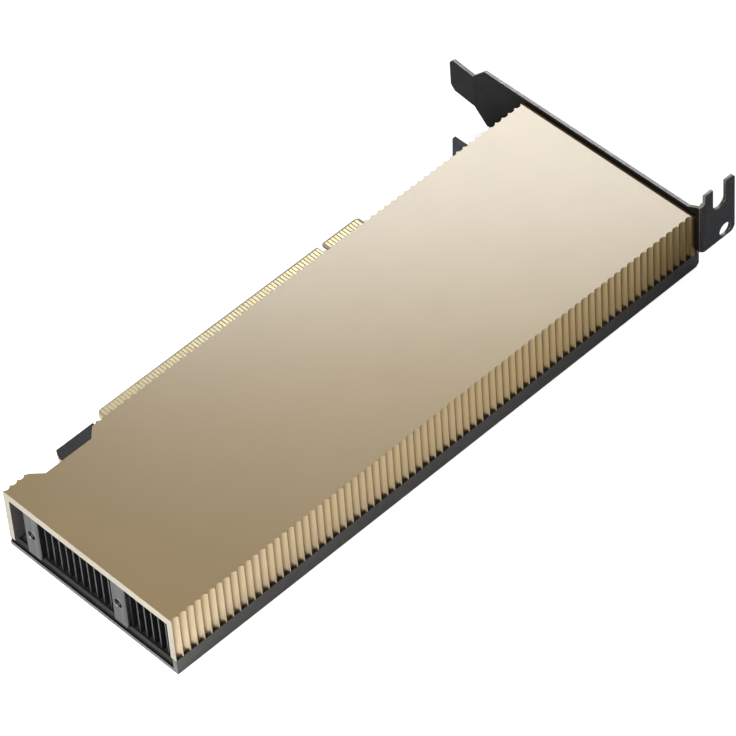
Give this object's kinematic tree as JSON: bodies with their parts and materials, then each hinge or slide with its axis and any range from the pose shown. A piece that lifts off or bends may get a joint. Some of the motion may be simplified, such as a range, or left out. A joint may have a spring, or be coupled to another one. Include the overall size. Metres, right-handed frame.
{
  "type": "passive accelerator card",
  "caption": "Low-profile passively cooled accelerator card: fluted champagne cover open at one end for airflow, keyed edge connector and a fold-over steel bracket.",
  "frame": {"origin": "middle of the key notch of the edge connector, on its leading edge, half way through the board", "axes": "+X along the card towards the bracket, +Y out of the edge connector, +Z out of the component side, where the cover is"},
  "size_m": [0.1806, 0.0847, 0.0245],
  "materials": {
    "champagne_metal": "satin anodised champagne",
    "dark_painted_metal": "fine satin dark grey",
    "board_laminate": "dark solder mask",
    "contact_plating": "hard gold plating",
    "machined_metal": "fine machined",
    "fin_metal": "dark anodised",
    "copper_alloy": "satin",
    "package_laminate": "matt",
    "silicon": "polished",
    "soft_pad": "matt",
    "moulded_compound": "matt",
    "ferrite": "matt",
    "steel": "satin",
    "insulating_film": "satin film",
    "black_steel": "black powder coat",
    "black_steel_screws": "black oxide"
  },
  "bodies": {
    "root": {"fluted_cover": "champagne_metal", "backplate_tray": "dark_painted_metal", "circuit_board": "board_laminate", "contacts_component_side": "contact_plating", "contacts_solder_side": "contact_plating", "intake_post_near": "machined_metal", "intake_post_far": "machined_metal", "fin_block": "fin_metal", "vapour_chamber": "copper_alloy", "processor_package": "package_laminate", "package_stiffener": "machined_metal", "processor_die": "silicon", "thermal_paste": "soft_pad", "memory_chips": "moulded_compound", "memory_pads": "soft_pad", "inductors": "ferrite", "power_stages": "moulded_compound", "bulk_capacitors": "moulded_compound", "power_pads": "soft_pad", "power_controller": "moulded_compound", "firmware_memory": "moulded_compound", "clock_crystal": "steel", "spring_plate": "steel", "spring_screws": "steel", "insulating_sheet": "insulating_film", "bracket": "black_steel", "tray_screws": "black_steel_screws"}
  },
  "joints": []
}
